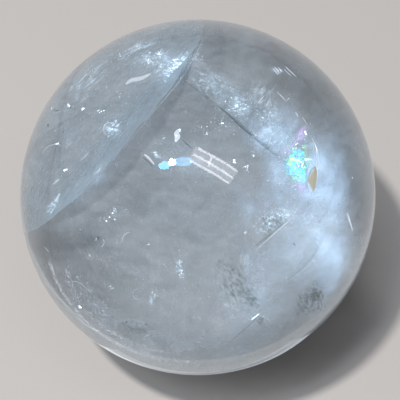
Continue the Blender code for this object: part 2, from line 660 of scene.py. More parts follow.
def strew_tree():
    """Geometry nodes that strew a small shape over a sheet, more of it where the sheet's cover is dense."""
    tree = bpy.data.node_groups.new("strew over crack", "GeometryNodeTree")
    tree.interface.new_socket("Geometry", in_out="INPUT", socket_type="NodeSocketGeometry")
    for label, kind in (("Grain", "NodeSocketObject"), ("Per square metre", "NodeSocketFloat"),
                        ("Smallest", "NodeSocketFloat"), ("Largest", "NodeSocketFloat"),
                        ("Tilt", "NodeSocketFloat"), ("Seed", "NodeSocketInt"),
                        ("Material", "NodeSocketMaterial")):
        tree.interface.new_socket(label, in_out="INPUT", socket_type=kind)
    tree.interface.new_socket("Geometry", in_out="OUTPUT", socket_type="NodeSocketGeometry")
    given = add_node(tree, "NodeGroupInput").outputs
    cover = add_node(tree, "GeometryNodeInputNamedAttribute", {"data_type": "FLOAT"}, {"Name": "cover"})
    density = add_node(tree, "ShaderNodeMath", {"operation": "MULTIPLY"}, None, {
        0: cover.outputs[0], 1: given["Per square metre"],
    })
    points = add_node(tree, "GeometryNodeDistributePointsOnFaces", {"distribute_method": "RANDOM"}, None, {
        "Mesh": given["Geometry"], "Density": density.outputs[0], "Seed": given["Seed"],
    })
    size = add_node(tree, "FunctionNodeRandomValue", {"data_type": "FLOAT"}, None, {
        2: given["Smallest"], 3: given["Largest"], "Seed": given["Seed"],
    })
    back = add_node(tree, "ShaderNodeMath", {"operation": "MULTIPLY"}, {1: -1.0}, {0: given["Tilt"]})
    low = add_node(tree, "ShaderNodeCombineXYZ", None, {2: -math.pi}, {
        0: back.outputs[0], 1: back.outputs[0],
    })
    high = add_node(tree, "ShaderNodeCombineXYZ", None, {2: math.pi}, {0: given["Tilt"], 1: given["Tilt"]})
    turn = add_node(tree, "FunctionNodeRandomValue", {"data_type": "FLOAT_VECTOR"}, None, {
        0: low.outputs[0], 1: high.outputs[0], "Seed": given["Seed"],
    })
    turn_rotation = add_node(tree, "FunctionNodeEulerToRotation", None, None, {0: turn.outputs[0]})
    turned = add_node(tree, "FunctionNodeRotateRotation", {"rotation_space": "LOCAL"}, None, {
        0: points.outputs["Rotation"], 1: turn_rotation.outputs[0],
    })
    grain = add_node(tree, "GeometryNodeObjectInfo", None, {"As Instance": True}, {"Object": given["Grain"]})
    strewn = add_node(tree, "GeometryNodeInstanceOnPoints", None, None, {
        "Points": points.outputs["Points"], "Instance": grain.outputs["Geometry"],
        "Rotation": turned.outputs[0], "Scale": size.outputs[1],
    })
    real = add_node(tree, "GeometryNodeRealizeInstances", None, None, {"Geometry": strewn.outputs[0]})
    painted_real = add_node(tree, "GeometryNodeSetMaterial", None, None, {
        "Geometry": real.outputs[0], "Material": given["Material"],
    })
    add_node(tree, "NodeGroupOutput", None, None, {0: painted_real.outputs[0]})
    return tree


def strew(name, sheet, grain, per_square_mm, smallest_mm, largest_mm, tilt_deg, seed, material):
    """A plain mesh of grains strewn over the sheet."""
    tree = bpy.data.node_groups.get("strew over crack") or strew_tree()
    carrier = link_object(name, sheet.data.copy())
    modifier = carrier.modifiers.new("strew", "NODES")
    modifier.node_group = tree
    wanted = {
        "Grain": grain, "Per square metre": per_square_mm / MM**2, "Smallest": smallest_mm * MM,
        "Largest": largest_mm * MM, "Tilt": math.radians(tilt_deg), "Seed": seed, "Material": material,
    }
    for item in tree.interface.items_tree:
        if item.in_out == "INPUT" and item.name in wanted:
            modifier[item.identifier] = wanted[item.name]
    bpy.context.view_layer.update()
    evaluated = carrier.evaluated_get(bpy.context.evaluated_depsgraph_get())
    mesh = bpy.data.meshes.new_from_object(evaluated)
    bpy.data.objects.remove(carrier, do_unlink=True)
    if not mesh.polygons:
        raise RuntimeError(f"no grains came out on {name}")
    mesh.name = name
    return in_stone(link_object(name, mesh))


def grain_shape(corners, material):
    """One flat flake, one unit across, that strew copies. It is removed once the flakes are strewn."""
    points = [Vector((math.cos(math.tau * i / corners) / 2, math.sin(math.tau * i / corners) / 3, 0))
              for i in range(corners)]
    mesh = bpy.data.meshes.new("flake")
    mesh.from_pydata(points, [], [tuple(range(corners))])
    mesh.materials.append(material)
    return link_object("flake", mesh)


# ---------------------------------------------------------------- what lies in the stone

LEFT_PLANE = Plane((-0.74, 0.634, 0.226), 0.642)
UPPER_PLANE = Plane((0.653, 0.738, -0.171), 0.264)
LOWER_PLANE = Plane((0.748, -0.543, -0.381), 0.290)
# The upper crack's plane from its other side: as a cut, it leaves what lies beyond the crack.
BEYOND_UPPER = Plane(tuple(-part for part in UPPER_PLANE.lean), -UPPER_PLANE.offset)

# Each blot: across, up, length, width, turn in degrees, strength.
CRACKS = {
    "left_crack": Sheet(LEFT_PLANE, flow=(0.65, 0.75, 0.0), base=0.29, blots=[
        (-0.123, 0.721, 0.112, 0.062, 35, 0.45),
        (-0.044, 0.828, 0.101, 0.034, 50, 0.25),
        (-0.764, -0.044, 0.146, 0.056, 45, 0.40),
        (-0.393, 0.322, 0.534, 0.056, 50, 0.22),
        (-0.787, 0.265, 0.101, 0.124, 60, -0.14),
        (-0.522, 0.603, 0.169, 0.079, 40, -0.10),
    ], cuts=[], dome_mm=0.0, ripple_mm=0.35),
    "upper_crack": Sheet(UPPER_PLANE, flow=(0.74, -0.65, 0.0), base=0.07, blots=[
        (0.282, 0.400, 0.180, 0.079, -45, 0.30),
    ], cuts=[LEFT_PLANE], dome_mm=0.0, ripple_mm=0.25),
    "upper_apron": Sheet(Plane((-0.30, -0.34, 0.89), 0.42), flow=(0.7, 0.74, 0.0), base=0.05, blots=[
        (0.079, 0.625, 0.191, 0.079, -38, 0.26),
        (0.237, 0.513, 0.090, 0.067, -45, 0.20),
        (0.462, 0.322, 0.169, 0.112, -50, 0.30),
        (0.715, 0.181, 0.225, 0.079, -80, 0.16),
    ], cuts=[LEFT_PLANE, BEYOND_UPPER], dome_mm=0.0, ripple_mm=0.5),
    "lower_crack": Sheet(LOWER_PLANE, flow=(0.65, 0.75, 0.0), base=0.10, blots=[
        (0.574, -0.409, 0.225, 0.079, 45, 0.15),
    ], cuts=[], dome_mm=0.0, ripple_mm=0.3),
}

# Cracks that never reach the skin: how far below it they begin to thin out, in millimetres.
FADES = {"upper_apron": 3.0, "lower_crack": 1.0}

# Where the milk is denser or thinner: blots as above.
# Partly painted light: the milk is denser on the lower right and lower rim, where the ball gathers light.
MILK_AND_FOCUS_BLOTS = [
    (0.574, -0.325, 0.169, 0.169, 0, 0.09),
    (0.867, 0.125, 0.337, 0.056, -78, -0.06),
    (0.855, -0.409, 0.124, 0.247, 25, 0.22),
    (0.490, -0.494, 0.337, 0.225, 40, 0.10),
    (0.040, 0.670, 0.169, 0.112, -38, 0.08),
    (0.096, -0.871, 0.450, 0.101, 0, 0.12),
    (0.675, -0.679, 0.337, 0.067, 42, 0.28),
    (-0.860, -0.522, 0.225, 0.056, -55, -0.04),
    (-0.618, -0.308, 0.225, 0.135, -10, -0.07),
    (0.675, 0.603, 0.281, 0.180, -52, -0.07),
    (-0.551, -0.494, 0.281, 0.135, -30, -0.09),
    (-0.804, 0.125, 0.112, 0.247, 0, -0.04),
    (-0.787, 0.406, 0.112, 0.146, 0, 0.06),
    (-0.044, 0.209, 0.281, 0.101, -15, 0.09),
    (-0.157, 0.490, 0.169, 0.225, 0, -0.02),
    (0.585, -0.364, 0.124, 0.101, 40, 0.10),
    (0.456, -0.173, 0.124, 0.101, 20, 0.10),
    (0.361, -0.668, 0.236, 0.112, 28, 0.12),
]

# Bright chips.
GLINTS = [Cluster(*row) for row in (
    (-0.129, 0.732, 2.4, 0.146, 0.067, 34, 220, 0.03, 0.10, 28),
    (-0.275, 0.766, 6.0, 0.022, 0.028, 60, 22, 0.05, 0.16, 18),
    (-0.213, 0.805, 6.0, 0.022, 0.022, 60, 18, 0.05, 0.16, 18),
    (-0.039, 0.822, 1.0, 0.101, 0.022, 55, 90, 0.03, 0.09, 26),
    (-0.438, 0.789, 5.0, 0.051, 0.028, 30, 22, 0.04, 0.12, 24),
    (0.237, 0.519, 3.0, 0.084, 0.067, -45, 90, 0.04, 0.12, 28),
    (0.124, 0.429, 5.0, 0.051, 0.045, 0, 30, 0.03, 0.08, 26),
    (0.023, 0.378, 5.0, 0.051, 0.039, 0, 24, 0.03, 0.07, 26),
    (0.051, 0.353, 4.0, 0.006, 0.011, 0, 3, 0.07, 0.11, 14),
    (-0.114, 0.345, 3.0, 0.037, 0.012, 72, 12, 0.16, 0.36, 14),
    (-0.186, 0.335, 3.0, 0.006, 0.006, 0, 3, 0.09, 0.15, 12),
    (0.273, 0.164, 3.0, 0.022, 0.022, 0, 20, 0.05, 0.14, 20),
    (0.208, 0.201, 2.5, 0.007, 0.017, 20, 8, 0.10, 0.20, 14),
    (0.313, 0.229, 3.0, 0.006, 0.006, 0, 3, 0.08, 0.14, 14),
    (0.417, -0.139, 4.0, 0.124, 0.073, 25, 130, 0.03, 0.09, 28),
    (0.269, -0.198, 4.0, 0.008, 0.008, 0, 5, 0.06, 0.12, 18),
    (-0.101, -0.387, 6.0, 0.022, 0.073, 10, 30, 0.03, 0.09, 28),
    (-0.101, -0.426, 6.0, 0.017, 0.017, 10, 5, 0.05, 0.11, 22),
    (-0.258, -0.567, 6.0, 0.017, 0.039, -15, 16, 0.04, 0.11, 24),
    (-0.455, -0.083, 7.0, 0.056, 0.045, 0, 20, 0.04, 0.11, 26),
    (-0.511, -0.123, 7.0, 0.045, 0.011, 0, 8, 0.05, 0.11, 24),
    (-0.609, -0.324, 6.0, 0.006, 0.006, 0, 3, 0.08, 0.14, 14),
    (-0.570, -0.238, 6.0, 0.006, 0.006, 0, 2, 0.08, 0.14, 14),
    (-0.494, -0.505, 6.0, 0.022, 0.011, 20, 10, 0.05, 0.13, 22),
    (-0.663, -0.618, 3.0, 0.008, 0.007, 0, 7, 0.12, 0.26, 12),
    (-0.742, 0.155, 4.0, 0.011, 0.007, 0, 5, 0.12, 0.22, 16),
    (-0.494, 0.372, 7.0, 0.051, 0.051, 0, 22, 0.04, 0.12, 26),
    (-0.448, 0.403, 7.0, 0.017, 0.034, 20, 18, 0.06, 0.16, 22),
    (0.872, 0.108, 1.0, 0.003, 0.003, 0, 2, 0.12, 0.18, 10),
    (0.574, 0.063, 2.0, 0.067, 0.051, 0, 60, 0.03, 0.09, 26),
    (0.591, 0.198, 1.0, 0.039, 0.034, 0, 30, 0.06, 0.26, 12),
    (0.574, 0.265, 1.0, 0.079, 0.051, 60, 24, 0.04, 0.12, 20),
    (-0.821, 0.507, 3.5, 0.008, 0.006, 0, 3, 0.12, 0.22, 16),
    (-0.728, 0.517, 4.5, 0.011, 0.008, 0, 5, 0.12, 0.24, 16),
    (-0.642, 0.496, 5.5, 0.019, 0.008, -10, 7, 0.12, 0.24, 16),
    (-0.551, 0.485, 6.0, 0.010, 0.007, 0, 4, 0.12, 0.22, 16),
    (-0.792, 0.301, 4.5, 0.013, 0.004, 10, 5, 0.10, 0.18, 18),
    (-0.660, -0.178, 6.5, 0.006, 0.006, 0, 2, 0.07, 0.11, 18),
    (-0.286, -0.266, 8.0, 0.011, 0.006, 0, 4, 0.05, 0.10, 22),
    (-0.410, 0.772, 5.0, 0.337, 0.225, 30, 90, 0.03, 0.09, 30),
    (0.327, 0.353, 2.0, 0.017, 0.011, -40, 9, 0.04, 0.12, 22),
    (-0.635, -0.522, 5.0, 0.124, 0.079, -40, 60, 0.03, 0.09, 28),
    (0.361, -0.679, 4.0, 0.034, 0.028, 40, 20, 0.03, 0.10, 26),
    (0.827, -0.466, 2.0, 0.056, 0.135, -30, 30, 0.04, 0.12, 28),
)]

# Bits of rings: across, up, depth in mm, radius, first and last angle in degrees, width in mm.
ARCS = [
    (-0.494, 0.384, 7.0, 0.037, 40, 285, 0.13),
    (-0.801, 0.226, 5.0, 0.073, 60, 170, 0.12),
    (-0.339, -0.544, 6.5, 0.028, 90, 300, 0.10),
    (-0.556, -0.252, 6.0, 0.028, -70, 40, 0.12),
    (-0.376, -0.246, 8.0, 0.051, 100, 190, 0.10),
]

# Frosty patches of crushed quartz.
FROST_PATCHES = [Patch(*row) for row in (
    (-0.269, 0.783, 0.247, 0.112, 12, 6.0, 0.15, (6, -4)),
    (-0.118, 0.727, 0.225, 0.124, 36, 2.0, 0.30, (4, 4)),
    (-0.016, 0.817, 0.191, 0.067, 55, 0.9, 0.16, (4, 8)),
    (0.237, 0.524, 0.180, 0.157, -50, 3.2, 0.18, (-6, 5)),
    (0.124, 0.603, 0.394, 0.180, -38, 5.0, 0.12, (6, 8)),
    (0.428, 0.400, 0.427, 0.202, -50, 4.0, 0.13, (5, 5)),
    (0.417, -0.139, 0.247, 0.157, 25, 4.2, 0.24, (5, -8)),
    (-0.101, -0.398, 0.079, 0.191, 10, 6.2, 0.20, (4, 4)),
    (-0.258, -0.567, 0.062, 0.112, -15, 6.2, 0.24, (-4, 4)),
    (-0.455, -0.089, 0.157, 0.112, 0, 7.2, 0.07, (6, 6)),
    (-0.230, 0.237, 0.090, 0.051, -45, 4.0, 0.40, (3, 3)),
    (-0.478, 0.378, 0.124, 0.101, 0, 7.0, 0.34, (5, -5)),
    (-0.551, -0.623, 0.247, 0.101, -30, 4.0, 0.10, (8, 2)),
    (-0.809, -0.049, 0.191, 0.067, 50, 2.0, 0.26, (-3, 9)),
    (0.574, -0.196, 0.394, 0.281, 40, 6.0, 0.07, (2, 2)),
    (-0.191, 0.749, 0.225, 0.112, 24, 4.5, 0.16, (3, 6)),
    (-0.084, 0.749, 0.157, 0.079, 50, 1.4, 0.20, (3, 6)),
)]

# Spots round the rainbow crack, round its paler ends with how dense each is, and round a painted view of the
# ground.
RAINBOW_OUTLINE = [
    (0.456, 0.164), (0.479, 0.254), (0.546, 0.305), (0.630, 0.327),
    (0.664, 0.237), (0.653, 0.147), (0.614, 0.035), (0.512, 0.057),
]
FAINT_FILMS = [
    (oval(0.580, 0.052, 0.124, 0.101, 0, 3), 0.55),
    (oval(0.372, -0.033, 0.146, 0.067, 0, 4), 0.42),
    (oval(0.574, 0.339, 0.191, 0.090, 65, 5), 0.50),
    (oval(0.484, 0.265, 0.124, 0.090, 0, 6), 0.45),
    (oval(0.827, -0.241, 0.112, 0.090, 0, 7), 0.35),
]
GROUND_VIEW_OUTLINE = [
    (0.661, 0.170), (0.639, 0.136), (0.617, 0.097), (0.633, 0.063),
    (0.650, 0.029), (0.664, 0.074), (0.670, 0.125),
]

# Fine parallel wisps: an oval as for frost, then how its lines run, in degrees from the horizontal.
WISPS = [
    (Patch(-0.618, -0.539, 0.259, 0.146, -40, 5.0, 0.08, (4, 4)), -42),
    (Patch(0.361, 0.558, 0.247, 0.214, -40, 4.5, 0.12, (6, 4)), 55),
    (Patch(-0.539, 0.170, 0.191, 0.067, 50, 4.0, 0.24, (-4, 6)), 62),
    (Patch(0.451, 0.710, 0.146, 0.067, -20, 3.5, 0.18, (0, 6)), -52),
    (Patch(-0.607, 0.659, 0.394, 0.169, 45, 5.0, 0.14, (5, -5)), 48),
    (Patch(-0.382, -0.702, 0.450, 0.135, -8, 6.0, 0.08, (6, 0)), -8),
    (Patch(0.096, 0.659, 0.394, 0.169, -38, 6.0, 0.14, (5, 5)), -30),
    (Patch(0.687, -0.156, 0.337, 0.281, 60, 6.0, 0.14, (-3, 5)), 50),
    (Patch(0.203, -0.511, 0.270, 0.371, 20, 6.1, 0.10, (3, 3)), -62),
    (Patch(-0.343, 0.828, 0.281, 0.090, 30, 5.0, 0.16, (5, -5)), 30),
]

# Patches of fine dark mineral.
SMOKY_PATCHES = [Patch(*row) for row in (
    (0.203, -0.477, 0.236, 0.360, 25, 5.5, 0.22, (0, 0)),
    (0.287, -0.561, 0.084, 0.191, 42, 4.5, 0.34, (0, 0)),
    (0.349, -0.696, 0.056, 0.067, 0, 4.0, 0.35, (0, 0)),
    (0.614, -0.578, 0.259, 0.214, 40, 5.0, 0.26, (0, 0)),
    (0.664, -0.550, 0.090, 0.112, -30, 4.0, 0.50, (0, 0)),
    (0.417, -0.139, 0.214, 0.135, 25, 3.4, 0.34, (0, 0)),
    (-0.371, -0.724, 0.259, 0.090, 0, 8.0, 0.44, (0, 0)),
)]

# Veils that turn to the key light: the spot they face it at, its depth in mm, and blots as above.
# They are partly haze and partly painted light: they brighten the stone where the ball focuses the key light.
FOCUS_GLOWS = [
    (0.642, -0.100, 14.0, [
        (0.625, -0.061, 0.214, 0.416, -6, 0.157),
        (0.670, -0.038, 0.067, 0.067, 0, -0.10),
        (0.439, 0.153, 0.073, 0.124, 0, 0.14),
        (0.636, 0.074, 0.056, 0.067, 0, 0.08),
        (0.743, -0.274, 0.096, 0.107, 0, 0.155),
        (0.664, 0.108, 0.079, 0.163, 6, 0.225),
        (0.782, 0.040, 0.073, 0.157, 4, 0.09),
        (0.771, -0.494, 0.202, 0.112, 50, 0.13),
    ]),
    (0.434, 0.389, 7.0, [
        (0.479, 0.316, 0.191, 0.112, -52, 0.16),
        (0.321, 0.344, 0.146, 0.067, -50, 0.08),
        (0.597, 0.344, 0.056, 0.067, 0, 0.03),
        (0.501, 0.462, 0.090, 0.090, 0, 0.08),
        (0.192, 0.558, 0.146, 0.067, -45, 0.03),
    ]),
    (0.265, -0.381, 13.0, [
        (0.529, -0.297, 0.180, 0.146, 30, 0.10),
        (0.496, -0.612, 0.247, 0.124, 40, 0.05),
        (0.327, -0.421, 0.090, 0.191, 12, 0.09),
        (0.316, -0.544, 0.073, 0.079, 0, 0.07),
        (0.591, -0.364, 0.112, 0.084, 40, 0.08),
        (0.271, -0.702, 0.202, 0.112, 20, 0.06),
        (-0.269, -0.831, 0.450, 0.101, -6, 0.05),
        (0.361, -0.027, 0.180, 0.146, 0, 0.12),
        (-0.056, 0.209, 0.225, 0.101, -20, 0.09),
    ]),
    (-0.382, 0.575, 8.0, [
        (-0.112, 0.715, 0.124, 0.079, 40, 0.20),
        (-0.269, 0.783, 0.112, 0.051, 10, 0.05),
        (-0.410, 0.423, 0.422, 0.101, 52, 0.06),
        (-0.596, 0.085, 0.202, 0.067, 50, 0.10),
        (-0.185, 0.350, 0.169, 0.135, 0, 0.04),
        (-0.776, 0.378, 0.090, 0.225, 0, 0.04),
    ]),
    (0.788, 0.254, 6.0, [
        (0.788, 0.265, 0.062, 0.180, 8, 0.075),
    ]),
]

# Lines that flash, that stay dull and that are dark: their spots with depths, and their width in mm.
MIRROR_LINES = [
    ([(-0.813, 0.074, 3.5), (-0.782, 0.103, 3.5)], 0.22),
    ([(-0.796, -0.012, 3.5), (-0.776, 0.024, 3.5)], 0.24),
    ([(0.656, 0.305, 0.7), (0.668, 0.271, 0.7), (0.672, 0.247, 0.7)], 0.03),
    ([(0.850, -0.128, 2.4), (0.860, -0.156, 1.6), (0.870, -0.190, 0.4)], 0.09),
    ([(0.299, -0.691, 1.5), (0.344, -0.655, 1.5)], 0.16),
    ([(0.602, 0.372, 1.0), (0.610, 0.350, 1.0)], 0.14),
    ([(-0.564, 0.134, 4.0), (-0.547, 0.168, 4.0)], 0.10),
    ([(0.498, 0.537, 4.0), (0.518, 0.560, 4.0)], 0.10),
    ([(0.130, 0.414, 4.0), (0.147, 0.417, 4.0)], 0.16),
]

PALE_LINES = [
    ([(0.839, -0.089, 3.4), (0.853, -0.134, 2.2), (0.870, -0.190, 0.4)], 0.34),
    ([(0.641, 0.339, 0.8), (0.661, 0.288, 0.75), (0.672, 0.247, 0.75), (0.675, 0.178, 0.75)], 0.15),
    ([(-0.404, 0.637, 6.1), (-0.371, 0.659, 6.1), (-0.320, 0.669, 6.1), (-0.264, 0.695, 6.1)], 0.72),
    ([(-0.301, 0.242, 3.6), (-0.275, 0.220, 3.6), (-0.244, 0.184, 3.6)], 0.30),
    ([(-0.127, 0.312, 3.1), (-0.113, 0.339, 3.1), (-0.119, 0.359, 3.1), (-0.104, 0.382, 3.1)], 0.80),
    ([(-0.742, 0.277, 5.0), (-0.702, 0.316, 5.0)], 0.12),
    ([(-0.660, 0.206, 5.0), (-0.612, 0.254, 5.0)], 0.12),
    ([(-0.553, 0.146, 4.0), (-0.536, 0.179, 4.0)], 0.16),
    ([(-0.517, 0.181, 4.0), (-0.506, 0.204, 4.0)], 0.16),
    ([(0.426, 0.724, 4.0), (0.451, 0.687, 4.0)], 0.16),
    ([(0.437, 0.729, 4.0), (0.460, 0.690, 4.0)], 0.16),
    ([(0.451, 0.732, 4.0), (0.476, 0.699, 4.0)], 0.16),
    ([(0.494, 0.734, 4.0), (0.518, 0.710, 4.0), (0.556, 0.676, 4.0)], 0.20),
    ([(0.484, 0.721, 4.0), (0.524, 0.682, 4.0)], 0.12),
    ([(0.337, 0.526, 3.0), (0.377, 0.575, 3.0)], 0.16),
    ([(0.383, 0.507, 3.0), (0.411, 0.558, 3.0)], 0.14),
    ([(0.445, 0.594, 4.0), (0.498, 0.537, 4.0)], 0.12),
    ([(0.549, 0.479, 1.2), (0.566, 0.451, 1.2)], 0.22),
    ([(0.589, 0.451, 1.0), (0.617, 0.403, 1.0)], 0.10),
    ([(0.675, 0.178, 0.7), (0.672, 0.119, 0.7), (0.653, 0.029, 0.8)], 0.18),
    ([(0.589, 0.370, 2.0), (0.511, 0.260, 2.0)], 0.10),
    ([(0.562, -0.061, 2.0), (0.521, -0.123, 2.0), (0.447, -0.190, 2.0), (0.324, -0.300, 2.5)], 0.14),
    ([(0.760, -0.151, 3.0), (0.636, -0.368, 3.0), (0.501, -0.483, 3.0), (0.361, -0.646, 3.0)], 0.035),
    ([(0.057, 0.924, 0.6), (-0.067, 0.704, 1.0), (-0.224, 0.507, 1.5),
      (-0.427, 0.265, 1.5), (-0.618, 0.052, 1.0), (-0.776, -0.078, 0.6)], 0.05),
    ([(-0.687, -0.668, 1.2), (-0.629, -0.719, 1.2), (-0.557, -0.760, 1.2)], 0.14),
    ([(-0.919, -0.381, 0.6), (-0.832, -0.511, 0.6), (-0.714, -0.628, 0.6)], 0.07),
    ([(-0.708, -0.471, 5.0), (-0.663, -0.483, 5.0), (-0.579, -0.560, 5.0)], 0.05),
    ([(-0.866, -0.274, 2.0), (-0.837, -0.308, 2.0)], 0.08),
]

# Painted shade: dark lines along the dark side of crack edges.
EDGE_SHADE_LINES = [
    ([(0.109, 0.516, 0.8), (0.169, 0.468, 0.8), (0.242, 0.398, 0.8), (0.307, 0.344, 0.8)], 0.17),
    ([(-0.084, 0.659, 0.8), (0.012, 0.592, 0.8), (0.109, 0.516, 0.8)], 0.06),
    ([(-0.087, 0.322, 2.0), (-0.033, 0.274, 2.0)], 0.11),
    ([(0.496, -0.134, 2.0), (0.417, -0.201, 2.0), (0.316, -0.280, 2.5)], 0.13),
    ([(0.344, -0.668, 1.5), (0.160, -0.826, 1.5)], 0.08),
    ([(0.743, -0.162, 3.0), (0.622, -0.364, 3.0), (0.490, -0.477, 3.0)], 0.06),
    ([(-0.309, 0.226, 3.7), (-0.281, 0.201, 3.7), (-0.253, 0.172, 3.7)], 0.13),
    ([(0.535, -0.258, 2.0), (0.549, -0.274, 2.0)], 0.14),
    ([(0.228, 0.942, 1.0), (0.338, 0.924, 1.0)], 0.11),
    ([(0.617, 0.097, 0.8), (0.636, 0.147, 0.8), (0.661, 0.175, 0.8)], 0.10),
]

# Dark specks, most of them in those patches.
DARK_SPECKS = [Cluster(*row) for row in (
    (0.214, -0.483, 6.0, 0.067, 0.169, 25, 100, 0.04, 0.16, 50),
    (0.310, -0.578, 4.5, 0.022, 0.073, 38, 34, 0.05, 0.20, 50),
    (0.349, -0.691, 4.0, 0.022, 0.022, 0, 14, 0.07, 0.24, 60),
    (0.675, -0.556, 4.0, 0.028, 0.039, -30, 40, 0.07, 0.30, 50),
    (0.608, -0.589, 4.5, 0.079, 0.067, 40, 60, 0.05, 0.18, 50),
    (0.569, 0.209, 1.0, 0.073, 0.067, 0, 30, 0.05, 0.13, 30),
    (0.417, -0.145, 4.0, 0.090, 0.062, 25, 60, 0.04, 0.15, 60),
    (-0.376, -0.719, 8.0, 0.101, 0.039, 0, 24, 0.09, 0.27, 60),
    (-0.564, -0.232, 6.0, 0.006, 0.011, 0, 5, 0.15, 0.24, 40),
    (-0.807, 0.493, 2.5, 0.017, 0.007, -20, 7, 0.22, 0.40, 25),
    (-0.716, 0.510, 2.5, 0.007, 0.007, 0, 3, 0.22, 0.36, 25),
    (-0.843, 0.403, 2.0, 0.007, 0.011, 0, 5, 0.24, 0.40, 25),
    (-0.759, 0.372, 4.0, 0.011, 0.011, 0, 5, 0.09, 0.18, 40),
    (0.630, -0.156, 3.0, 0.056, 0.045, 0, 10, 0.06, 0.18, 40),
)]


# ---------------------------------------------------------------- settings and operators


def colour_setting(name, description, hex_colour):
    """A colour that a user can change."""
    return bpy.props.FloatVectorProperty(
        name=name, description=description, default=srgb(hex_colour), size=4, min=0.0, max=1.0,
        subtype="COLOR")


def size_setting(name, description, size_mm):
    """A length that a user can change."""
    return bpy.props.FloatProperty(
        name=name, description=description, default=size_mm * MM, min=0.01 * MM, precision=5,
        subtype="DISTANCE", unit="LENGTH")


class QuartzSettings(bpy.types.PropertyGroup):
    """Sizes and colours of the stone and its studio"""

    crystal_colour: colour_setting("Crystal", "Colour of the clear body", "e8f2f8")
    let_in_colour: colour_setting("Light let in", "Tint of straight light that enters the ball", "c8cacc")
    veil_colour: colour_setting("Veils", "Colour of the healed cracks and the frost", "d4e9f9")
    # Colour of the glow veils: partly painted light where the ball focuses the key light.
    focus_glow_colour: colour_setting("Veils with painted focus glow", "Colour of the veils that shine", "bddcfb")
    milk_colour: colour_setting("Milk", "Colour of the haze", "dae1e7")
    # Also the colour of the painted shade along crack edges.
    speck_and_edge_shade_colour: colour_setting("Specks", "Colour of the dark mineral specks", "3e4846")
    floor_colour: colour_setting("Floor", "Colour of the studio floor", "797877")
    body_absorption: bpy.props.FloatProperty(
        name="Body absorption", description="How fast the clear body darkens, per metre",
        default=3.0, min=0.0)
    veil_grain: size_setting("Veil grain", "Size of the lumps in a healed crack", 1.0)
    milk_grain: size_setting("Milk grain", "Size of the lumps in the haze", 1.2)
    frost_grain: size_setting("Frost grain", "Size of the crumbs in a frosty patch", 0.4)
    largest_dust: size_setting("Largest dust", "Width of the widest bubble in the haze", 0.09)
    dust_per_square_mm: bpy.props.FloatProperty(
        name="Dust density", description="Bubbles on a square millimetre of a dense sheet of haze",
        default=2.6, min=0.0)
    milk_veils: bpy.props.IntProperty(
        name="Milk veils", description="Number of faint sheets at random angles", default=4, min=0)
    seed: bpy.props.IntProperty(
        name="Seed", description="Changes where the chips and the milk veils lie", default=5, min=0)


def lamp(name, place, size, brightness, hex_colour, across=None):
    """A flat lamp that faces the ball: round, or a strip whose long side runs along across.

    brightness is the radiance of its face, in watts a square metre a steradian.
    """
    light = bpy.data.lights.new(name, "AREA")
    light.color = srgb(hex_colour)[:3]
    facing = (place - BALL_CENTRE).to_track_quat("Z", "Y")
    if across:
        light.shape = "RECTANGLE"
        light.size, light.size_y = size
        light.energy = math.pi * size[0] * size[1] * brightness
        flat = facing.inverted() @ across
        facing = facing @ Quaternion((0, 0, 1), math.atan2(flat.y, flat.x))
    else:
        light.shape = "DISK"
        light.size = size
        light.energy = math.pi * math.pi * (size / 2) ** 2 * brightness
    body = bpy.data.objects.new(name, light)
    body.rotation_euler = facing.to_euler()
    body.location = place
    bpy.context.scene.collection.objects.link(body)
    return body


# Ceiling tubes that mirror in the skin: the spots where each starts and ends, its width and brightness.
TUBES = [
    ((0.001, 0.274), (0.222, 0.145), 0.026, 7.5),
    ((-0.024, 0.240), (0.197, 0.107), 0.026, 7.5),
    ((-0.044, 0.205), (0.174, 0.078), 0.026, 7.5),
    ((0.078, 0.226), (0.058, 0.172), 0.026, 7.5),
    ((-0.033, 0.249), (0.203, 0.108), 0.17, 2.4),
]

# Blue windows beside the key light: name, spot, size, brightness and colour.
WINDOWS = [
    ("window_left", (-0.188, 0.179), (0.13, 0.09), 17.0, "62c2ff"),
    ("window_right", (-0.084, 0.200), (0.22, 0.10), 7.5, "74c6ff"),
]

# Light that the floor throws back at the foot of the ball: name, how far forward, depth and brightness.
BOUNCES = [("bounce_edge", 18.5, 5.0, 0.6), ("bounce_wash", 21.0, 11.0, 0.25)]
BOUNCE_WIDTH_MM, BOUNCE_ACROSS_MM, BOUNCE_HEIGHT_MM = 44, 2, 0.5

FLOOR_WIDTH = 3.0
TENT_RADIUS, TENT_HEIGHT, TENT_SIDES = 1.4, 0.9, 48
KEY_DISTANCE, KEY_WIDTH, KEY_BRIGHTNESS = 1.2, 0.078, 2490
ROOM_BRIGHTNESS = 0.16

# Enough bounces for light that passes many thin sheets, and no caustics, which would only add noise.
LIGHT_PATHS = {
    "max_bounces": 8, "diffuse_bounces": 2, "glossy_bounces": 3, "transmission_bounces": 6,
    "transparent_max_bounces": 40, "caustics_reflective": False, "caustics_refractive": False,
}


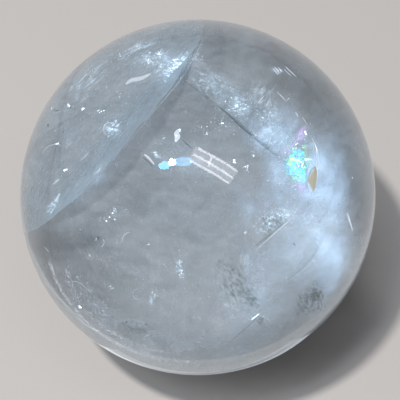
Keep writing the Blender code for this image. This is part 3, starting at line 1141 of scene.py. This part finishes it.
class QUARTZ_OT_stage(bpy.types.Operator):
    """Floor, lights and camera"""

    bl_idname = "quartz.stage"
    bl_label = "Stage"

    def execute(self, context):
        # Matt painted board: an even pale ground with no gloss.
        floor_paint = plain_material("pale studio floor", context.scene.quartz.floor_colour, 0.7)
        half = FLOOR_WIDTH / 2
        corners = [(-half, -half, 0), (half, -half, 0), (half, half, 0), (-half, half, 0)]
        mesh_object("studio_floor", corners, [(0, 1, 2, 3)], floor_paint)
        self.add_light_tent()
        self.add_lights(context.scene)
        self.add_camera(context.scene)
        context.scene.view_settings.view_transform = "Standard"
        for setting, value in LIGHT_PATHS.items():
            setattr(context.scene.cycles, setting, value)
        return {"FINISHED"}

    def add_lights(self, scene):
        """A soft room, the key light, and what mirrors in the polish."""
        world = bpy.data.worlds.new("soft studio")
        world.use_nodes = True
        background = world.node_tree.nodes["Background"]
        background.inputs["Color"].default_value = srgb("dfe6ee")
        background.inputs["Strength"].default_value = ROOM_BRIGHTNESS
        scene.world = world
        lamp("key", BALL_CENTRE + TOWARD_KEY * KEY_DISTANCE, KEY_WIDTH, KEY_BRIGHTNESS, "fffaf6")
        for name, forward_mm, depth_mm, brightness in BOUNCES:
            spot = Vector((BOUNCE_ACROSS_MM * MM, -forward_mm * MM, BOUNCE_HEIGHT_MM * MM))
            size = (BOUNCE_WIDTH_MM * MM, depth_mm * MM)
            bounce = lamp(name, spot, size, brightness, "eef6ff", STONE_ACROSS)
            bounce.rotation_euler = (math.pi, 0, 0)
            bounce.visible_camera = False
            bounce.visible_transmission = False
        for name, spot, size, brightness, colour in WINDOWS:
            window = lamp(name, mirrored(*spot), size, brightness, colour, STONE_ACROSS)
            window.data.shape = "ELLIPSE"
        for number, (start, end, width, brightness) in enumerate(TUBES):
            a, b = mirrored(*start), mirrored(*end)
            lamp(f"ceiling_tube_{number}", (a + b) / 2, ((b - a).length, width), brightness, "f6f0f6", b - a)

    def add_light_tent(self):
        """A low ring of lit cloth round the stage, for the clear quartz to show from the side."""
        # White cotton lit from behind: an even pale glow with no shape of its own.
        cloth, tree = new_material("light tent cloth")
        glow = add_node(tree, "ShaderNodeEmission", None, {"Color": srgb("e2dfdc"), "Strength": 0.50})
        add_node(tree, "ShaderNodeOutputMaterial", None, None, {"Surface": glow.outputs[0]})
        points = []
        for level in (0.0, TENT_HEIGHT):
            for side in range(TENT_SIDES):
                angle = math.tau * side / TENT_SIDES
                points.append((TENT_RADIUS * math.cos(angle), TENT_RADIUS * math.sin(angle), level))
        faces = []
        for side in range(TENT_SIDES):
            after = (side + 1) % TENT_SIDES
            faces.append((side, after, TENT_SIDES + after, TENT_SIDES + side))
        mesh_object("light_tent", points, faces, cloth)

    def add_camera(self, scene):
        """A camera aimed so that the ball's outline lies where its centre and radius in pixels say."""
        focal_px = OUTLINE_RADIUS_PX / OUTLINE_SPREAD
        camera = bpy.data.cameras.new("camera")
        camera.sensor_width = SENSOR_MM
        camera.lens = SENSOR_MM * focal_px / FRAME_PIXELS
        camera.clip_start = 0.01
        camera.clip_end = 20
        body = bpy.data.objects.new("camera", camera)
        body.location = EYE
        right_px = FRAME_PIXELS / 2 - OUTLINE_CENTRE_PX[0]
        down_px = FRAME_PIXELS / 2 - OUTLINE_CENTRE_PX[1]
        aim = STONE_TOWARD * -focal_px + STONE_ACROSS * right_px - STONE_UP * down_px
        body.rotation_euler = aim.to_track_quat("-Z", "Y").to_euler()
        scene.collection.objects.link(body)
        scene.camera = body


class QUARTZ_OT_ball(bpy.types.Operator):
    """The polished ball"""

    bl_idname = "quartz.ball"
    bl_label = "Polished ball"

    def execute(self, context):
        shape = bmesh.new()
        bmesh.ops.create_uvsphere(shape, u_segments=320, v_segments=160, radius=BALL_RADIUS)
        bmesh.ops.translate(shape, verts=shape.verts, vec=BALL_CENTRE)
        whole = shape.verts[:] + shape.edges[:] + shape.faces[:]
        bmesh.ops.bisect_plane(
            shape, geom=whole, plane_co=(0, 0, BALL_LOW.z), plane_no=(0, 0, -1), clear_outer=True)
        bmesh.ops.edgeloop_fill(shape, edges=[edge for edge in shape.edges if edge.is_boundary])
        bmesh.ops.recalc_face_normals(shape, faces=shape.faces)
        mesh = bpy.data.meshes.new("polished_ball")
        shape.to_mesh(mesh)
        shape.free()
        mesh.shade_smooth()
        mesh.set_sharp_from_angle(angle=math.radians(5))
        mesh.materials.append(polished_quartz(context.scene.quartz))
        if not mesh.polygons:
            raise RuntimeError("the polished ball came out empty")
        ball = in_stone(link_object("polished_ball", mesh))
        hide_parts(BALL_NODE)
        return {"FINISHED"}


class QUARTZ_OT_cracks(bpy.types.Operator):
    """The large healed cracks that part the stone into a calm middle and brighter caps"""

    bl_idname = "quartz.cracks"
    bl_label = "Large cracks"

    def execute(self, context):
        settings = context.scene.quartz
        # Rock crystal that cracked and grew shut again. Its film of tiny bubbles reads as a pale blue
        # veil. The bubbles themselves are too fine to show, so it is drawn in lumps of 1 mm.
        grain_mm = settings.veil_grain / MM
        healed = veil_material("healed crack in quartz", settings.veil_colour, grain_mm, stretch=2.0,
                               detail=7.0, contrast=0.7, silk=0.25)
        # Bits of the crack that stayed open. Air behind clean quartz flashes like a mirror.
        glint = plain_material("air-filled crack face", srgb("dceefc"), 0.5, 1.0)
        flake = grain_shape(5, glint)
        for seed, (name, sheet) in enumerate(CRACKS.items(), 1):
            veil = crack_sheet(name, sheet, healed, seed, FADES.get(name, 0.0), far_fade_mm=8.0)
            strew(name + "_flakes", veil, flake, per_square_mm=4.0, smallest_mm=0.04, largest_mm=0.16,
                  tilt_deg=40, seed=seed, material=glint)
        bpy.data.objects.remove(flake)
        return {"FINISHED"}


class QUARTZ_OT_milk(bpy.types.Operator):
    """The haze: faint sheets, some across the line of sight and some at random angles"""

    bl_idname = "quartz.milk"
    bl_label = "Milk"

    def execute(self, context):
        settings = context.scene.quartz
        # Bubbles of old water, grown in. Too small to see one by one, they haze the stone like thin milk.
        milk = veil_material("milk of tiny bubbles", settings.milk_colour, settings.milk_grain / MM,
                             stretch=2.0, detail=6.0, contrast=0.40)
        # The largest of those bubbles, which show as single bright points.
        dust = plain_material("dust of tiny bubbles", srgb("e6f2fc"), 0.5, 0.6)
        flake = grain_shape(5, dust)
        chance = random.Random(settings.seed + 6)
        for number, depth in enumerate((0.66, 0.22, -0.22, -0.66)):
            lean = (chance.uniform(-0.3, 0.3), chance.uniform(-0.3, 0.3), 1)
            flow = (chance.uniform(-1, 1), chance.uniform(-1, 1), 0)
            # Its blots are partly painted light: denser milk where the ball gathers light.
            cloud = Sheet(Plane(lean, depth), flow, base=0.215, blots=MILK_AND_FOCUS_BLOTS, cuts=[],
                          dome_mm=5 * depth + 1, ripple_mm=1.2)
            sheet = crack_sheet(f"milk_cloud_{number}", cloud, milk, seed=30 + number, fade_mm=4.0,
                                ripple_size_mm=16.0, spokes=128, rings=40)
            strew(f"milk_dust_{number}", sheet, flake, settings.dust_per_square_mm, smallest_mm=0.03,
                  largest_mm=settings.largest_dust / MM, tilt_deg=50, seed=number, material=dust)
        for number in range(settings.milk_veils):
            lean = [chance.gauss(0, 1) for _ in range(3)]
            flow = [chance.gauss(0, 1) for _ in range(3)]
            # The first four blots, partly painted light: they thicken the milk on the lower right.
            veil = Sheet(Plane(lean, chance.uniform(-0.7, 0.7)), flow, base=0.26, blots=MILK_AND_FOCUS_BLOTS[:4], cuts=[],
                         dome_mm=chance.uniform(-5, 5), ripple_mm=1.5)
            crack_sheet(f"milk_veil_{number}", veil, milk, seed=40 + number, fade_mm=12.0,
                        ripple_size_mm=16.0, spokes=96, rings=30)
        bpy.data.objects.remove(flake)
        return {"FINISHED"}


class QUARTZ_OT_glints(bpy.types.Operator):
    """Bright chips, crack edges, dark specks, and painted shade along crack edges"""

    bl_idname = "quartz.glints"
    bl_label = "Glints and specks"

    def execute(self, context):
        settings = context.scene.quartz
        # Freshly broken quartz with air behind it: a chip that flashes white or blue-white.
        glint = plain_material("clean broken crystal", srgb("e2f2ff"), 0.5, 1.0)
        # The ground edge of a crack, which scatters light softly and so stays a dull white line.
        pale = plain_material("frosted crack edge", srgb("b2b8c0"), 0.7)
        # Chlorite and other dirt that grew in: dull dark green-grey specks.
        # The same colour also draws painted shade: the dark lines along crack edges.
        speck_and_edge_shade = plain_material("dark mineral speck and painted edge shade", settings.speck_and_edge_shade_colour, 0.8)
        bright = chips(GLINTS, settings.seed)
        bright += [ribbon(*line) for line in MIRROR_LINES]
        in_stone(mesh_object("bright_chips", *joined(bright), glint), casts_shadow=False)
        edges = [ribbon(*line) for line in PALE_LINES] + [ribbon(ring_path(*arc[:6]), arc[6]) for arc in ARCS]
        in_stone(mesh_object("crack_edges", *joined(edges), pale), casts_shadow=False)
        dark = chips(DARK_SPECKS, settings.seed + 100)
        # Painted shade along crack edges, in the specks' colour.
        dark += [ribbon(*line) for line in EDGE_SHADE_LINES]
        in_stone(mesh_object("dark_specks", *joined(dark), speck_and_edge_shade), casts_shadow=False)
        return {"FINISHED"}


class QUARTZ_OT_frost(bpy.types.Operator):
    """Frosty patches, where a crack broke into crystal crumbs"""

    bl_idname = "quartz.frost"
    bl_label = "Frost"

    def execute(self, context):
        settings = context.scene.quartz
        # Crushed quartz in a crack. Its crumbs catch the light one by one and read as crisp white frost.
        # Real crumbs are down to 0.05 mm across. They are drawn at 0.4 mm, the finest that shows.
        grain_mm = settings.frost_grain / MM
        frost = veil_material("frosted crack in quartz", settings.veil_colour, grain_mm, stretch=1.6,
                              detail=5.0, contrast=2.4, silk=0.5)
        for number, patch in enumerate(FROST_PATCHES):
            ragged_patch(f"frost_{number:02d}", patch, frost, fade=0.8, flow=(1, 0, 0), seed=number)
        return {"FINISHED"}


class QUARTZ_OT_wisps(bpy.types.Operator):
    """Fine parallel wisps"""

    bl_idname = "quartz.wisps"
    bl_label = "Wisps"

    def execute(self, context):
        # Rows of bubbles along growth lines: fine parallel wisps, as if brushed. The rows are drawn
        # 0.3 mm apart, wider than the real ones, so that they show.
        wisp = veil_material("wispy veil", srgb("d6e8f6"), size_mm=0.3, stretch=8.0, detail=5.0,
                             contrast=2.2, silk=0.4)
        for number, (patch, lines_deg) in enumerate(WISPS):
            turn = math.radians(lines_deg)
            flow = (math.cos(turn), math.sin(turn), 0)
            ragged_patch(f"wisps_{number}", patch, wisp, fade=1.0, flow=flow, seed=110 + number)
        return {"FINISHED"}


class QUARTZ_OT_smoke(bpy.types.Operator):
    """Dark fern-like patches"""

    bl_idname = "quartz.smoke"
    bl_label = "Smoky patches"

    def execute(self, context):
        # Fine dark mineral that grew on a crack: a grey, fern-like shadow in the clear stone. Its
        # threads are drawn 0.4 mm wide, coarser than the real ones, so that they show.
        smoke = veil_material("smoky veil", srgb("55605e"), size_mm=0.4, stretch=2.6, detail=5.0,
                              contrast=2.6)
        for number, patch in enumerate(SMOKY_PATCHES):
            ragged_patch(f"smoke_{number:02d}", patch, smoke, fade=0.8, flow=(0.6, -0.8, 0), seed=80 + number)
        return {"FINISHED"}


class QUARTZ_OT_focus_glow(bpy.types.Operator):
    """Veils that shine where they turn to the key light: partly painted light for what the ball focuses"""

    bl_idname = "quartz.silk"
    bl_label = "Veils with painted focus glow"

    def execute(self, context):
        settings = context.scene.quartz
        # Flat bubbles that all lie one way, and partly painted light where the ball focuses the key light.
        # The veil shines like satin where it turns to the light.
        glow = veil_material("veil with painted focus glow", settings.focus_glow_colour, size_mm=1.2, stretch=2.0, detail=6.0,
                             contrast=0.22, silk=0.7, through=0.2, roughness=0.45)
        for number, (across, up, depth_mm, blots) in enumerate(FOCUS_GLOWS):
            veil = Sheet(facing_plane(across, up, depth_mm), flow=(0.6, 0.8, 0.0), base=0.0, blots=blots,
                         cuts=[], dome_mm=1.5, ripple_mm=0.5)
            sheet = crack_sheet(f"glow_{number:02d}", veil, glow, seed=50 + number, fade_mm=5.0)
            # It casts no shadow, so that it brightens the stone and darkens nothing below it.
            sheet.visible_shadow = False
        return {"FINISHED"}


class QUARTZ_OT_rainbow(bpy.types.Operator):
    """The fresh crack near the skin, with its rainbow colours"""

    bl_idname = "quartz.rainbow"
    bl_label = "Rainbow crack"

    def execute(self, context):
        # A crack that has not healed. Light from the two sides of its film of air adds up or cancels,
        # and so it shows the strong colours of a soap bubble: teal, green, yellow and violet.
        film = rainbow_film("air film in a fresh crack", thinnest_nm=815, thickest_nm=1185, vivid=0.25,
                            most=0.95)
        patch_sheet("rainbow_crack", RAINBOW_OUTLINE, 1.4, film, most=0.50, fade=0.8, dome_mm=0.5, seed=5)
        # Where the film is thicker and more even its colours are few and pale: here a faint violet.
        faint = rainbow_film("thick end of the air film", thinnest_nm=1370, thickest_nm=1440, vivid=0.15,
                             most=0.20)
        for number, (spots, most) in enumerate(FAINT_FILMS):
            patch_sheet(f"faint_rainbow_{number}", spots, 2.0, faint, most, fade=0.8, seed=60 + number)
        # Painted view of the ground seen through a clear hole between the veils: an opaque patch in its warm
        # colour.
        ground_view_paint = plain_material("painted view of the ground", srgb("948e7c"), 0.6)
        patch_sheet("clear_gap", GROUND_VIEW_OUTLINE, 0.9, ground_view_paint, most=1.0, fade=0.1, tilt=(0, 12), dome_mm=0.05,
                    seed=6)
        return {"FINISHED"}


STEPS = [
    QUARTZ_OT_stage, QUARTZ_OT_ball, QUARTZ_OT_cracks, QUARTZ_OT_milk, QUARTZ_OT_frost, QUARTZ_OT_wisps,
    QUARTZ_OT_smoke, QUARTZ_OT_focus_glow, QUARTZ_OT_glints, QUARTZ_OT_rainbow,
]


class QUARTZ_PT_stone(bpy.types.Panel):
    """The stone's settings and the steps that build it"""

    bl_idname = "QUARTZ_PT_stone"
    bl_label = "Quartz Sphere"
    bl_space_type = "VIEW_3D"
    bl_region_type = "UI"
    bl_category = "Quartz"

    def draw(self, context):
        for name in QuartzSettings.__annotations__:
            self.layout.prop(context.scene.quartz, name)
        for step in STEPS:
            self.layout.operator(step.bl_idname)


CLASSES = [QuartzSettings, *STEPS, QUARTZ_PT_stone]


def register():
    for each in CLASSES:
        bpy.utils.register_class(each)
    bpy.types.Scene.quartz = bpy.props.PointerProperty(type=QuartzSettings)


def unregister():
    del bpy.types.Scene.quartz
    for each in reversed(CLASSES):
        bpy.utils.unregister_class(each)


def main():
    register()
    bpy.ops.quartz.stage()
    bpy.ops.quartz.ball()
    bpy.ops.quartz.cracks()
    bpy.ops.quartz.milk()
    bpy.ops.quartz.frost()
    bpy.ops.quartz.wisps()
    bpy.ops.quartz.smoke()
    bpy.ops.quartz.silk()
    bpy.ops.quartz.glints()
    bpy.ops.quartz.rainbow()


if __name__ == "__main__":
    main()
